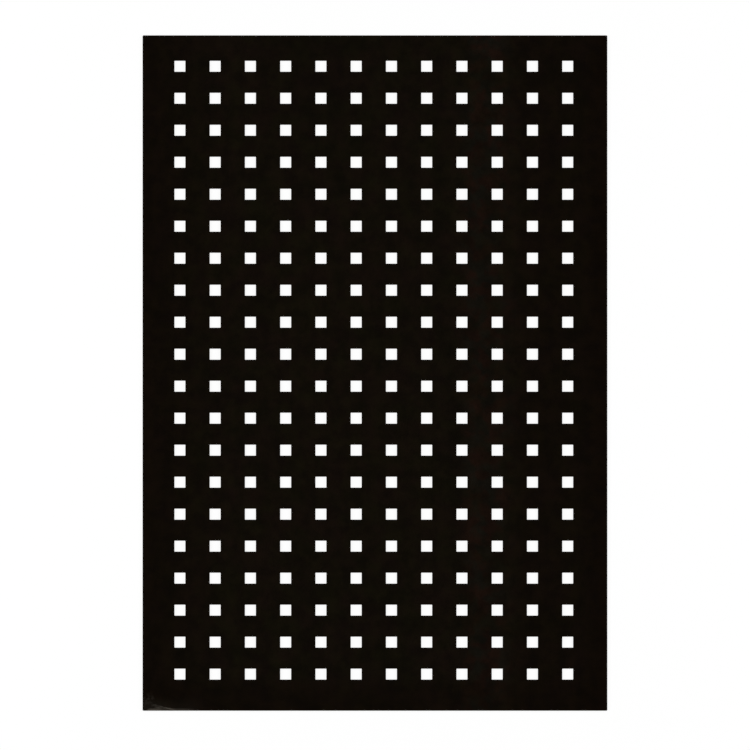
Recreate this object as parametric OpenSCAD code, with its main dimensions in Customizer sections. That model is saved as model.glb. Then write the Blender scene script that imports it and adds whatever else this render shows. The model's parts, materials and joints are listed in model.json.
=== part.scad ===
// Flat pegboard: one sheet of black coated steel, punched with a grid of square holes for hooks.
// It lies on its back: width along X, length along Y, front face up.
// The origin is on the underside, at the middle of the sheet.

/* [Sheet] */
// Width of the sheet, left to right
sheet_w = 406; // [200:1:1200]
// Length of the sheet, bottom to top
sheet_l = 590; // [200:1:2400]
// Thickness of the steel
sheet_t = 1.5; // [0.8:0.1:4]
// Radius on the four outer corners, where the sharp point is taken off
corner_r = 0.8; // [0.2:0.1:8]

/* [Punched holes] */
// Side of each square hole
hole_side = 9.5; // [6:0.1:16]
// Radius that the punch leaves in the corners of each hole
hole_r = 0.3; // [0.2:0.1:2]
// Distance between the centres of neighbouring columns
pitch_x = 30.8; // [22:0.1:60]
// Distance between the centres of neighbouring rows
pitch_y = 27.95; // [22:0.05:60]
// Left edge of the sheet to the centres of the first column
first_x = 32.6; // [14:0.1:80]
// Top edge of the sheet to the centres of the first row
first_y = 27; // [14:0.1:80]

/* [Hidden] */
$fn = 32;

// Punching starts at the top left, and stops before the far margin gets narrower than the near one.
columns = 1 + floor((sheet_w - 2 * first_x) / pitch_x);
rows = 1 + floor((sheet_l - 2 * first_y) / pitch_y);

// A rectangle centred on the origin, with its corners rounded to radius r
module rounded_rectangle(w, l, r) {
    square([w - 2 * r, l], center = true);
    square([w, l - 2 * r], center = true);
    for (x = [-1, 1], y = [-1, 1])
        translate([x * (w / 2 - r), y * (l / 2 - r)])
            circle(r);
}

// The openings of all the holes, counted from the top left corner of the sheet
module hole_grid() {
    for (column = [0 : columns - 1], row = [0 : rows - 1])
        translate([first_x + column * pitch_x - sheet_w / 2, sheet_l / 2 - first_y - row * pitch_y])
            rounded_rectangle(hole_side, hole_side, hole_r);
}

// The whole board is one piece of sheet
module perforated_sheet() {
    color([0.06, 0.045, 0.03])
        linear_extrude(height = sheet_t)
            difference() {
                rounded_rectangle(sheet_w, sheet_l, corner_r);
                hole_grid();
            }
}

perforated_sheet();
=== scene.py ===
# %% [markdown]
# # A steel pegboard, from sheet to finish
# The object is one flat sheet of steel, punched with a grid of square holes and coated black, lying on
# its back on a pale floor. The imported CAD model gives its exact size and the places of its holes.
# This lesson remodels the sheet with the soft edges that punching and coating leave, gives it a satin
# powder coat, and sets up the floor, the light and a camera that looks straight down.

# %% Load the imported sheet
import json

import bpy
import numpy as np
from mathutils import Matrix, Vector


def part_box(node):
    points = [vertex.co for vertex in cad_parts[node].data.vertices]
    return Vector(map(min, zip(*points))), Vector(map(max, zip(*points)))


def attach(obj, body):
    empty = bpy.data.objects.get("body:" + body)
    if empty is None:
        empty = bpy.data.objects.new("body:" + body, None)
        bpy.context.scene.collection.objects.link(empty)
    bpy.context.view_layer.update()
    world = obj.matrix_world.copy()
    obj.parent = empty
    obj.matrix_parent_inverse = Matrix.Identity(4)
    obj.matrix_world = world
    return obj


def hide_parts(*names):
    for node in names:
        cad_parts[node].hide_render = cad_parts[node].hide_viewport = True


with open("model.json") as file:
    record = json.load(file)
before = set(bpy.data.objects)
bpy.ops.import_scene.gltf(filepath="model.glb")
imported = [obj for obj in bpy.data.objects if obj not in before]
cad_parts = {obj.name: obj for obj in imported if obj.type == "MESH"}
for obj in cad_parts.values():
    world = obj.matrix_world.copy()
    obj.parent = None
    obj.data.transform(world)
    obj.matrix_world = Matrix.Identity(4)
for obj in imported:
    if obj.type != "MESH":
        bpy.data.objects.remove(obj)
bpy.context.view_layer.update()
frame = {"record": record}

MM = 0.001
sheet_low, sheet_high = (np.array(corner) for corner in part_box("perforated_sheet"))
sheet_size = sheet_high - sheet_low
sheet_w, sheet_l, sheet_t = sheet_size
print("sheet in mm:", np.round(sheet_size / MM, 3))

# %% [markdown]
# ## Where the holes are
# A punch steps over the sheet at even distances, so two corner holes fix the whole grid. Their places
# could be typed in again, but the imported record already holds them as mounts. Reading those two keeps
# the remodelled holes exactly over the ones in the solid.

# %% Read the grid from two corner holes
COLUMNS, ROWS = 12, 20
HOLE_SIDE = 9.5 * MM
HOLE_RADIUS = 0.3 * MM

mount_places = {mount["name"]: mount["pos_m"] for mount in frame["record"]["mounts"]}
left, top, _ = mount_places["fixing_hole_row01_column01"]
right, bottom, _ = mount_places["fixing_hole_row20_column12"]
column_x = np.linspace(left, right, COLUMNS)
row_y = np.linspace(bottom, top, ROWS)
pitch = np.array([column_x[1] - column_x[0], row_y[1] - row_y[0]])
print("pitch in mm:", np.round(pitch / MM, 3))

# %% [markdown]
# ## The profile of a punched edge
# A punch drags the front of the sheet down with it before the steel shears, so the front edge of each
# hole is a small round roll. The back edge breaks off sharper, and the coat rounds it a little. A bevel
# modifier could round the edges of a sharp sheet, but it gives every edge the same size and is slow on
# so many holes. Here one short profile holds the front face, the roll, the wall, the back edge and the
# back face, each with its normal.

# %% Describe the edge once
FRONT_ROLL = 0.3 * MM
BACK_ROLL = 0.12 * MM

# how far the surface has turned from facing up, the radius of that turn, and the height of its centre
edge_turn = np.radians([0, 0, 45, 90, 90, 180, 180])
edge_roll = np.array([FRONT_ROLL] * 4 + [BACK_ROLL] * 3)
roll_centre = np.array([sheet_t - FRONT_ROLL] * 4 + [BACK_ROLL] * 3)

edge_away, edge_up = np.sin(edge_turn), np.cos(edge_turn)  # the normal's shares away from the steel and up
edge_inset = edge_roll * (1 - edge_away)  # how far a point lies back from the wall, into the steel
edge_height = roll_centre + edge_roll * edge_up
print("inset and height in mm:", np.round(np.c_[edge_inset, edge_height] / MM, 3).tolist())

# %% [markdown]
# ## The holes
# Each hole is that profile carried round a square path with tiny corner arcs. Round it lies a rectangle
# of flat sheet, front and back, that reaches half way to the next holes. Cutting holes with a boolean
# would leave long thin faces between them. Cells that share their border points leave clean faces, and
# one set of arrays makes all of them at once.

# %% Carry the profile round a path
ARC_TURN = np.radians([0, 45, 90])


def corner_path(half_x, half_y, radius):
    """Arc centres and outward directions round a rectangle with rounded corners, anticlockwise.

    Each corner has one centre, radius in from both sides, and three directions: along one side's
    normal, half way, and along the next side's normal. Centre plus radius times direction is the path.
    """
    turn = np.arange(4)[:, None] * np.pi / 2 + ARC_TURN
    outward = np.stack([np.cos(turn), np.sin(turn)], axis=-1).round(12)  # with exact zeros
    quarter = np.sign(outward[:, 1:2])
    centres = np.broadcast_to(quarter * [half_x - radius, half_y - radius], outward.shape)
    return centres.reshape(-1, 2), outward.reshape(-1, 2)


def edge_rings(border, centres, outward, radius, metal_side):
    """Rings of points and of normals, from a border on the front, over the edge, to the one on the back.

    A ring on the edge is centres + (radius - metal_side * inset) * outward, at the profile's height.
    metal_side is 1 where the steel lies inside the path, and -1 where it lies outside, as round a hole.
    """
    reach = (radius - metal_side * edge_inset)[:, None, None]
    flat = centres + reach * outward
    flat[[0, -1]] = border
    height, up = (np.repeat(values[:, None], len(border), axis=1) for values in (edge_height, edge_up))
    return np.dstack([flat, height]), np.dstack([metal_side * edge_away[:, None, None] * outward, up])


hole_centres, hole_outward = corner_path(HOLE_SIDE / 2, HOLE_SIDE / 2, HOLE_RADIUS)
print("path round a hole:", len(hole_centres), "points")

# %% Set each hole in its cell of flat sheet
# the border: each point of the path goes outwards along the axes it leans to, up to the cell's sides
lean = np.sign(hole_outward)
cell_border = np.where(lean == 0, hole_centres, lean * pitch / 2)
cell_points, cell_normals = edge_rings(cell_border, hole_centres, hole_outward, HOLE_RADIUS, -1)

places = np.dstack([*np.meshgrid(column_x, row_y), np.zeros((ROWS, COLUMNS))]).reshape(-1, 1, 1, 3)
all_cells = places + cell_points
print("cells:", len(all_cells), "faces in each:", (len(cell_points) - 1) * len(cell_border))

# %% [markdown]
# ## The rim
# Outside the grid a plain margin runs to the sheared edge of the sheet. The grid was punched from the
# top left, so the margins differ. The same profile is carried round the sheet's outline, and flat faces
# join it to the border of the cells. Its points stand opposite theirs, so no gap is left. Four boxes
# for the margins would be simpler, but their corners would miss the corners of the cells.

# %% Join the grid to the sheared outline
OUTER_RADIUS = 0.8 * MM


def border_stops(hole_places, step):
    """Border points along a side: where each cell but the first starts, and its hole's two corners."""
    corner = HOLE_SIDE / 2 - HOLE_RADIUS
    return (hole_places[:, None] + [-step / 2, -corner, corner]).ravel()[1:]


stops_x, stops_y = border_stops(column_x, pitch[0]), border_stops(row_y, pitch[1])
outer_corners = corner_path(sheet_w / 2, sheet_l / 2, OUTER_RADIUS)
rim_centres, rim_outward = [], []
# each corner's arc is followed by the side that its last direction faces: top, left, bottom, right
side_stops = (stops_x[::-1], stops_y[::-1], stops_x, stops_y)
for centres, outward, stops in zip(*(part.reshape(4, -1, 2) for part in outer_corners), side_stops):
    side = np.where(outward[-1] == 0, stops[:, None], centres[-1])
    rim_centres += [centres, side]
    rim_outward += [outward, np.broadcast_to(outward[-1], side.shape)]
rim_centres, rim_outward = np.concatenate(rim_centres), np.concatenate(rim_outward)

grid_low = [column_x[0], row_y[0]] - pitch / 2
grid_high = [column_x[-1], row_y[-1]] + pitch / 2
rim_border = np.clip(rim_centres, grid_low, grid_high)
rim_points, rim_normals = edge_rings(rim_border, rim_centres, rim_outward, OUTER_RADIUS, 1)
print("rim:", len(rim_points), "rings of", len(rim_border), "points")

# %% [markdown]
# ## One closed mesh
# Neighbouring cells repeat the points on their shared border. A merge operator would need a tolerance
# and a selection, while sorting the coordinates finds all equal points in one step. The normals come
# with the profile, so the flats shade dead flat and the rolls shade round, with few faces.

# %% List the faces between the rings
def ring_quads(rings, points):
    """Quads between neighbouring rings: point p and the one after it join the same two of the next ring."""
    ring, point = np.meshgrid(np.arange(rings - 1), np.arange(points), indexing="ij")
    here, after = ring * points + point, ring * points + (point + 1) % points
    return np.stack([here, after, after + points, here + points], axis=-1).reshape(-1, 4)


# rings run from front to back round a hole, and from back to front round the rim, so all faces look out
rim_points, rim_normals = rim_points[::-1], rim_normals[::-1]
points_per_cell = len(cell_points) * len(cell_border)
cell_starts = points_per_cell * np.arange(len(all_cells))[:, None, None]
cell_quads = (cell_starts + ring_quads(*cell_points.shape[:2])).reshape(-1, 4)
rim_start = points_per_cell * len(all_cells)
rim_quads = rim_start + ring_quads(*rim_points.shape[:2])
quads = np.concatenate([cell_quads, rim_quads])
print("faces before welding:", len(quads))

# %% Weld the shared borders
WELD = 1e-8  # metres, far less than between any two points of a cell
coordinates = np.concatenate([all_cells.reshape(-1, 3), rim_points.reshape(-1, 3)])
all_cell_normals = np.tile(cell_normals.reshape(-1, 3), (len(all_cells), 1))
normals = np.concatenate([all_cell_normals, rim_normals.reshape(-1, 3)])
grid_places = np.round(coordinates / WELD).astype(np.int64)
_, kept, welded = np.unique(grid_places, axis=0, return_index=True, return_inverse=True)
faces = welded.ravel()[quads]
# at the grid's corners a quad has two equal points, and becomes a triangle
is_new = faces != np.roll(faces, 1, axis=1)
is_quad = is_new.all(axis=1)
triangles = faces[~is_quad][is_new[~is_quad]].reshape(-1, 3)
print("points:", len(kept), "quads:", is_quad.sum(), "triangles:", len(triangles))

# %% Note where the coat runs thin
# most on the roll, a little on the wall, not at all on the flats
edge_thin = np.array([0.0, 0.0, 1.0, 0.5, 0.3, 0.0, 0.0])
cell_thin = np.tile(np.repeat(edge_thin, len(cell_border)), len(all_cells))
thin = np.concatenate([cell_thin, np.repeat(edge_thin[::-1], len(rim_border))])
print("points with a thin coat:", (thin[kept] > 0).sum())

# %% Make the sheet's mesh
sheet_mesh = bpy.data.meshes.new("punched_sheet")
sheet_mesh.from_pydata(coordinates[kept], [], faces[is_quad].tolist() + triangles.tolist(), shade_flat=False)
sheet_mesh.attributes.new("thin_coat", "FLOAT", "POINT").data.foreach_set("value", thin[kept])
sheet_mesh.normals_split_custom_set_from_vertices(normals[kept])
sheet_mesh.validate()
sheet = bpy.data.objects.new("punched_sheet", sheet_mesh)
bpy.context.scene.collection.objects.link(sheet)
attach(sheet, "root")
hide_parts("perforated_sheet")
euler = len(sheet_mesh.vertices) - len(sheet_mesh.edges) + len(sheet_mesh.polygons)
print("Euler number:", euler, "and for a closed sheet with all its holes:", 2 - 2 * COLUMNS * ROWS)

# %% [markdown]
# ## Satin black powder coat
# The steel is sprayed with polyester powder and baked. The resin melts into a satin skin with a faint
# orange peel. Its black is a warm one and never quite even: it drifts between olive and plum. Over that,
# the colour is painted lighter in the middle and darker and browner in a frame along the edges, as
# painted sheen and shade for a soft reflection over the middle, and a lighter, mottled band down the
# sheet is painted sheen as well. Faint clouds and long streaks run over all of it. A flat colour would
# look like paper, and a painted map would need an image, so each of these is a pattern, sized in
# millimetres and measured from the sheet's bottom left corner.

# %% Helpers for materials
# of the many sockets of a Mix node, the ones that mix colours
SHARE, FIRST, SECOND, MIXED = 0, 6, 7, 2


def linear_colour(hex_code):
    """sRGB hex to linear RGBA, by the standard curve: divide by 12.92 near black, else a 2.4 power."""
    srgb = np.array([int(hex_code[i : i + 2], 16) for i in (1, 3, 5)]) / 255
    linear = np.where(srgb <= 0.04045, srgb / 12.92, ((srgb + 0.055) / 1.055) ** 2.4)
    return (*linear.tolist(), 1.0)


def add_node(tree, kind, inputs=None, **settings):
    """Add one shader node: settings are its own options, and an input takes a value or another's output."""
    node = tree.nodes.new("ShaderNode" + kind)
    for name, value in settings.items():
        setattr(node, name, value)
    for name, value in (inputs or {}).items():
        if isinstance(value, bpy.types.NodeSocket):
            tree.links.new(value, node.inputs[name])
        else:
            node.inputs[name].default_value = value
    return node


def new_material(name):
    """A material with an empty node tree and its output node."""
    material = bpy.data.materials.new(name)
    material.use_nodes = True
    material.node_tree.nodes.clear()
    return material, material.node_tree, add_node(material.node_tree, "OutputMaterial")


print("sRGB half grey in linear light:", round(linear_colour("#808080")[0], 3))

# %% Measure from the corner
coat, tree, coat_output = new_material("satin_black_powder_coat")
place = add_node(tree, "TexCoord").outputs["Object"]
from_corner = add_node(
    tree, "Mapping", {"Vector": place, "Location": sheet_low, "Scale": (MM,) * 3}, vector_type="TEXTURE"
).outputs["Vector"]
run, rise, above_back = add_node(tree, "SeparateXYZ", {"Vector": from_corner}).outputs
print("corner in mm:", np.round(sheet_low / MM, 1))

# %% Warm black in soft patches
NOISE_SPAN = (0.3, 0.7)  # noise seldom leaves these bounds, so a fade between them uses its whole range
PATCH_MM = 30.0
PATCH_SHARES = (0.1, 0.9)  # of plum, so that no patch is one colour alone
OLIVE_BLACK, PLUM_BLACK = linear_colour("#0D0B04"), linear_colour("#0E0704")


def fade_product(tree, *fades):
    """The product of smooth fades, each from a first to a last level as a measure goes from start to stop."""
    product = 1.0
    for measure, start, stop, first, last in fades:
        level = add_node(
            tree,
            "MapRange",
            {"Value": measure, "From Min": start, "From Max": stop, "To Min": first, "To Max": last},
            interpolation_type="SMOOTHSTEP",
        ).outputs["Result"]
        product = add_node(tree, "Math", {0: product, 1: level}, operation="MULTIPLY").outputs["Value"]
    return product


patches = add_node(
    tree, "TexNoise", {"Vector": from_corner, "Scale": 1 / PATCH_MM, "Detail": 5.0, "Roughness": 0.65}
).outputs["Fac"]
patch_share = fade_product(tree, (patches, *NOISE_SPAN, *PATCH_SHARES))
patch_colour = add_node(
    tree, "Mix", {SHARE: patch_share, FIRST: OLIVE_BLACK, SECOND: PLUM_BLACK}, data_type="RGBA"
).outputs[MIXED]
print("coat colours:", np.round(OLIVE_BLACK[:3], 4), np.round(PLUM_BLACK[:3], 4))

# %% Painted shade: a darker, browner frame along the edges
# painted sheen and shade: the coat is lighter in the middle and darker towards the edges, standing for a soft
# reflection over the middle
PAINTED_EDGE_SHADE = linear_colour("#090401")
far_run, far_rise, _ = sheet_size / MM
# each side's fade of the painted shade: a measure, where it starts and stops, and the shares of the patches
# left there
painted_shade_sides = {
    "left": (run, -15, 85, 0.36, 1.0),
    "bottom": (rise, 12, 36, 0.5, 1.0),
    "top": (rise, far_rise - 36, far_rise - 12, 1.0, 0.95),
    "right": (run, far_run - 94, far_run - 67, 1.0, 0.54),
    "far right": (run, far_run - 28, far_run - 2, 1.0, 0.25),
}
painted_sheen_share = fade_product(tree, *painted_shade_sides.values())
# the share is 1 in the middle, where the painted sheen is, and falls towards the painted shade at the edges
painted_sheen_colour = add_node(
    tree, "Mix", {SHARE: painted_sheen_share, FIRST: PAINTED_EDGE_SHADE, SECOND: patch_colour}, data_type="RGBA"
).outputs[MIXED]
# the colour of the painted shade, and the sides where it lies
print("frame colour:", np.round(PAINTED_EDGE_SHADE[:3], 4), "at the", ", ".join(painted_shade_sides))

# %% Painted sheen: a lighter, mottled band down the sheet
# painted sheen: the coat is lighter and warmer in a band from 270 to 335 mm from the left edge, standing for
# a soft vertical reflection, and noise mottles the band
NOISE_CORE = (0.38, 0.62)  # narrower than the whole span, for more contrast
BLOTCH_MM = 12.0
SHEEN_BAND_START, SHEEN_BAND_PEAK, SHEEN_BAND_END = 270, 296, 335  # millimetres from the left edge
SHEEN_BAND_SHARES = (0.4, 1.0)  # in the olive patches and in the plum ones
SHEEN_BAND_OLIVE, SHEEN_BAND_RUSSET = linear_colour("#0F0D08"), linear_colour("#160B06")
blotches = add_node(
    tree, "TexNoise", {"Vector": from_corner, "Scale": 1 / BLOTCH_MM, "Detail": 2.0}
).outputs["Fac"]
blotch_share = fade_product(tree, (blotches, *NOISE_CORE, 0.0, 1.0))
blotch_colour = add_node(
    tree, "Mix", {SHARE: blotch_share, FIRST: SHEEN_BAND_OLIVE, SECOND: SHEEN_BAND_RUSSET}, data_type="RGBA"
).outputs[MIXED]
sheen_band_share = fade_product(
    tree,
    (patches, *NOISE_CORE, *SHEEN_BAND_SHARES),
    (run, SHEEN_BAND_START, SHEEN_BAND_PEAK, 0.0, 1.0),
    (run, SHEEN_BAND_PEAK, SHEEN_BAND_END, 1.0, 0.0),
)
# the painted sheen band laid over the coat
sheen_banded = add_node(
    tree, "Mix", {SHARE: sheen_band_share, FIRST: painted_sheen_colour, SECOND: blotch_colour}, data_type="RGBA"
).outputs[MIXED]
# the two colours of the painted sheen band
print("painted_sheen_band colours:", np.round(SHEEN_BAND_OLIVE[:3], 4), np.round(SHEEN_BAND_RUSSET[:3], 4))

# %% Clouds and streaks of the spray
CLOUD_MM, CLOUD_LEVELS = 14.0, (0.71, 1.27)
STREAK_MM, STREAK_LEVELS = (14.0, 230.0, 14.0), (0.92, 1.08)
clouds = add_node(
    tree, "TexNoise", {"Vector": from_corner, "Scale": 1 / CLOUD_MM, "Detail": 4.0, "Roughness": 0.7}
).outputs["Fac"]
stretched = add_node(
    tree, "Mapping", {"Vector": from_corner, "Scale": STREAK_MM}, vector_type="TEXTURE"
).outputs["Vector"]
streaks = add_node(tree, "TexNoise", {"Vector": stretched, "Scale": 1.0, "Detail": 3.0}).outputs["Fac"]
spray_level = fade_product(
    tree, (clouds, *NOISE_SPAN, *CLOUD_LEVELS), (streaks, *NOISE_SPAN, *STREAK_LEVELS)
)
sprayed = add_node(
    tree, "VectorMath", {"Vector": sheen_banded, "Scale": spray_level}, operation="SCALE"
).outputs["Vector"]
print("clouds of", CLOUD_MM, "mm and streaks of", STREAK_MM[:2], "mm")

# %% Thin coat on the rolled edges
THIN_BLACK = linear_colour("#1E1914")
thin_coat = add_node(tree, "Attribute", attribute_name="thin_coat").outputs["Fac"]
thin_share = add_node(tree, "Math", {0: thin_coat, 1: patch_share}, operation="MULTIPLY").outputs["Value"]
edged = add_node(
    tree, "Mix", {SHARE: thin_share, FIRST: sprayed, SECOND: THIN_BLACK}, data_type="RGBA"
).outputs[MIXED]
print("thin coat colour:", np.round(THIN_BLACK[:3], 4))

# %% [markdown]
# ## The rubbed corner
# The bottom left corner has been knocked and dragged over something rough. That left a grey sweep of
# fine scratches under one deep scratch, a dim speckled spot on the left edge, a worn stretch of the
# bottom edge, and a faint haze round them all. They could be painted on a map, but rules in millimetres
# from the corner stay sharp at any distance. Each mark is a product of fades, and at any place the
# strongest mark is the share of the coat that is rubbed grey.

# %% Speckle and scratches
front_mm = sheet_t / MM
KNOCK_MM = (5.0, 8.0, front_mm)
SPECKLE_MM = 2.2
DEEP_SCRATCH_MM = (24.0, 1.7, front_mm)
SCRATCH_SIZE_MM = (8.0, 0.7, 1.0)  # length, width and depth
SCRATCH_TILT = np.radians(-13)
speckle = add_node(
    tree, "TexNoise", {"Vector": from_corner, "Scale": 1 / SPECKLE_MM, "Detail": 3.0}
).outputs["Fac"]
# counted from the deep scratch, in scratch lengths along it and scratch widths across it
on_scratch = add_node(
    tree,
    "Mapping",
    {
        "Vector": from_corner,
        "Location": DEEP_SCRATCH_MM,
        "Rotation": (0, 0, SCRATCH_TILT),
        "Scale": SCRATCH_SIZE_MM,
    },
    vector_type="TEXTURE",
).outputs["Vector"]
scratches = add_node(tree, "TexNoise", {"Vector": on_scratch, "Scale": 1.0, "Detail": 3.0}).outputs["Fac"]
print("knock at", KNOCK_MM[:2], "mm and deep scratch at", DEEP_SCRATCH_MM[:2], "mm")

# %% Measures of the marks
# speckle times one of these, added to a measure, makes an outline ragged and shifts it by about half of it
RAGGED_MM, RAGGED_WIDTHS = 8.0, 3.0
from_knock = add_node(
    tree, "VectorMath", {0: from_corner, 1: KNOCK_MM}, operation="DISTANCE"
).outputs["Value"]
from_scratch = add_node(tree, "VectorMath", {0: on_scratch}, operation="LENGTH").outputs["Value"]
across = add_node(tree, "SeparateXYZ", {"Vector": on_scratch}).outputs["Y"]
ragged_run, ragged_across = (
    add_node(tree, "Math", {0: speckle, 1: ragged, 2: measure}, operation="MULTIPLY_ADD").outputs["Value"]
    for ragged, measure in ((RAGGED_MM, run), (RAGGED_WIDTHS, across))
)
print("coat nodes so far:", len(tree.nodes))

# %% Rub the coat grey
RUBBED_GREY = linear_colour("#4A453E")
RUB_DEPTH_MM = (0.5, 1.0)  # above the back: where the rub ends on the sheet's edge, and where it is whole
# each mark is a list of fades: a measure, where it starts and stops, and the levels there
marks = {
    "haze": [(rise, 2, 14, 1.0, 0.0), (run, 6, 30, 0.075, 0.03), (run, 38, 60, 1.0, 0.0)],
    "knock": [(speckle, *NOISE_CORE, 0.0, 0.13), (from_knock, 2, 9.5, 1.0, 0.0)],
    "worn edge": [
        (rise, 0.5, 3.0, 0.35, 0.0),
        (ragged_run, 7, 12, 0.0, 2.2),
        (ragged_run, 16, 22, 1.0, 0.45),
        (ragged_run, 38, 56, 1.0, 0.0),
    ],
    "sweep": [
        (scratches, *NOISE_CORE, 0.15, 0.5),
        (ragged_across, 1.6, 3.2, 1.0, 0.0),
        (ragged_run, 10.5, 15.5, 0.0, 1.0),
    ],
    "deep scratch": [(from_scratch, 0.2, 1.2, 0.75, 0.0)],
}
rub = 0.0
for fades in marks.values():
    mark = fade_product(tree, *fades)
    rub = add_node(tree, "Math", {0: rub, 1: mark}, operation="MAXIMUM").outputs["Value"]
on_front = fade_product(tree, (above_back, *RUB_DEPTH_MM, 0.0, 1.0))
rub = add_node(tree, "Math", {0: rub, 1: on_front}, operation="MULTIPLY").outputs["Value"]
rubbed = add_node(
    tree, "Mix", {SHARE: rub, FIRST: edged, SECOND: RUBBED_GREY}, data_type="RGBA"
).outputs[MIXED]
print("marks in the corner:", ", ".join(marks))

# %% [markdown]
# ## The surface of the coat
# Baked powder is smooth to the hand but not to the eye: the resin keeps an orange peel, and a punched
# sheet is never quite flat, so reflections wander. Real bumps that small would need millions of faces.
# Two noise patterns bend the normals instead, and the gloss follows the patches and dulls in the rub.

# %% Bumps, gloss and the shader
WAVE_MM, WAVE_DEPTH = 130.0, 0.9 * MM
PEEL_MM, PEEL_DEPTH = 2.6, 0.05 * MM  # drawn coarser than the real one so that it shows
SATIN = (0.33, 0.4)  # roughness of the olive patches and of the plum ones
RUB_DULLS = 0.25
normal_input = {}
for size, height in ((WAVE_MM, WAVE_DEPTH), (PEEL_MM, PEEL_DEPTH)):
    bumps = add_node(tree, "TexNoise", {"Vector": from_corner, "Scale": 1 / size, "Detail": 1.0})
    bump_inputs = {"Height": bumps.outputs["Fac"], "Distance": height, "Strength": 1.0}
    bump = add_node(tree, "Bump", {**bump_inputs, **normal_input})
    normal_input = {"Normal": bump.outputs["Normal"]}
gloss = fade_product(tree, (patches, *NOISE_SPAN, *SATIN))
dulled = add_node(tree, "Math", {0: rub, 1: RUB_DULLS, 2: gloss}, operation="MULTIPLY_ADD").outputs["Value"]
coat_shader = add_node(
    tree,
    "BsdfPrincipled",
    {"Base Color": rubbed, "Metallic": 0.0, "Roughness": dulled, "IOR": 1.5, **normal_input},
)
tree.links.new(coat_shader.outputs["BSDF"], coat_output.inputs["Surface"])
sheet_mesh.materials.append(coat)
print("coat nodes:", len(tree.nodes))

# %% [markdown]
# ## Floor and light
# The sheet lies on white paper in a studio with white walls low down and a dark ceiling. A satin sheet
# mirrors what faces it, so the dark ceiling keeps it black from above, and the walls give it a sheen at
# low angles. Two soft lamps at the sides light it evenly. The paper is white to the camera and to
# reflections, with a share left to plain diffuse light so that the sheet still casts its shadow. Making
# the paper white with stronger lamps would also have washed out the black.

# %% White paper that keeps the shadow
FLOOR_SIZE = 20.0
FLOOR_DROP = 0.05 * MM
SHADOW_SHARE = 0.1
corners = FLOOR_SIZE / 2 * np.array([[-1, -1], [1, -1], [1, 1], [-1, 1]])
floor_mesh = bpy.data.meshes.new("floor")
floor_mesh.from_pydata(np.c_[corners, np.full(len(corners), -FLOOR_DROP)], [], [[0, 1, 2, 3]])
floor = bpy.data.objects.new("floor", floor_mesh)
bpy.context.scene.collection.objects.link(floor)

paper, tree, paper_output = new_material("white_backdrop_paper")
ray = add_node(tree, "LightPath").outputs
seen = ray["Is Camera Ray"]
for other in ("Is Glossy Ray", "Is Transmission Ray"):
    seen = add_node(tree, "Math", {0: seen, 1: ray[other]}, operation="MAXIMUM").outputs["Value"]
glow_share = add_node(tree, "Math", {0: seen, 1: 1 - SHADOW_SHARE}, operation="MULTIPLY").outputs["Value"]
lit = add_node(tree, "BsdfDiffuse", {"Color": linear_colour("#FAFAFA")}).outputs["BSDF"]
glow = add_node(tree, "Emission", {"Color": linear_colour("#FFFFFF"), "Strength": 1.0}).outputs["Emission"]
paper_mix = add_node(tree, "MixShader", {0: glow_share, 1: lit, 2: glow})
tree.links.new(paper_mix.outputs["Shader"], paper_output.inputs["Surface"])
floor_mesh.materials.append(paper)
print("floor is", FLOOR_SIZE, "m wide,", FLOOR_DROP / MM, "mm under the sheet")

# %% White walls under a dark ceiling
WALL_FOOT, CEILING = 0.02, 0.62  # sine of the elevation where the white starts to darken, and where it ends
WALL_WHITE, CEILING_GREY = linear_colour("#FFFFFF"), linear_colour("#171717")
world = bpy.data.worlds.new("studio_walls")
world.use_nodes = True
bpy.context.scene.world = world
tree = world.node_tree
tree.nodes.clear()
direction = add_node(tree, "TexCoord").outputs["Generated"]
elevation = add_node(tree, "SeparateXYZ", {"Vector": direction}).outputs["Z"]
darkness = fade_product(tree, (elevation, WALL_FOOT, CEILING, 0.0, 1.0))
walls = add_node(
    tree, "Mix", {SHARE: darkness, FIRST: WALL_WHITE, SECOND: CEILING_GREY}, data_type="RGBA"
).outputs[MIXED]
wall_light = add_node(tree, "Background", {"Color": walls, "Strength": 1.0}).outputs["Background"]
add_node(tree, "OutputWorld", {"Surface": wall_light})
print("walls darken up to", round(np.degrees(np.arcsin(CEILING)), 1), "degrees")

# %% Two soft lamps at the sides
LAMP_SIZE = (1.2, 2.0)
LAMP_DISTANCE, LAMP_HEIGHT = 1.9, 1.3
for name, side, power in (("lamp_left", -1, 51.0), ("lamp_right", 1, 47.0)):
    lamp = bpy.data.lights.new(name, "AREA")
    lamp.shape = "RECTANGLE"
    lamp.size, lamp.size_y = LAMP_SIZE
    lamp.energy = power
    lamp_object = bpy.data.objects.new(name, lamp)
    lamp_object.location = (side * LAMP_DISTANCE, 0, LAMP_HEIGHT)
    lamp_object.rotation_euler = (0, side * np.arctan2(LAMP_DISTANCE, LAMP_HEIGHT), 0)
    lamp_object.visible_glossy = False  # a lamp's own glare would hide the black in views from the side
    bpy.context.scene.collection.objects.link(lamp_object)
    print(name, power, "W")

# %% [markdown]
# ## Camera
# The picture was taken square on from far away: no hole shows its walls. A camera four metres up with a
# long lens does the same, and unlike one without perspective it also suits the other views. Its view is
# as wide as the picture's frame at the scale of the board in it.

# %% Look straight down
FRAME_PX = 750.0
BOARD_PX = 464.8
BOARD_CENTRE_PX = np.array([374.95, 373.04])
CAMERA_HEIGHT = 4.0
metres_per_px = sheet_w / BOARD_PX
camera_data = bpy.data.cameras.new("camera")
camera_data.sensor_width = 36.0
camera_data.lens = camera_data.sensor_width * (CAMERA_HEIGHT - sheet_t) / (FRAME_PX * metres_per_px)
camera = bpy.data.objects.new("camera", camera_data)
off_centre = (FRAME_PX / 2 - BOARD_CENTRE_PX) * metres_per_px
camera.location = (off_centre[0], -off_centre[1], CAMERA_HEIGHT)
bpy.context.scene.collection.objects.link(camera)
bpy.context.scene.camera = camera
bpy.context.scene.view_settings.view_transform = "Standard"
print("lens in mm:", round(camera_data.lens, 1))
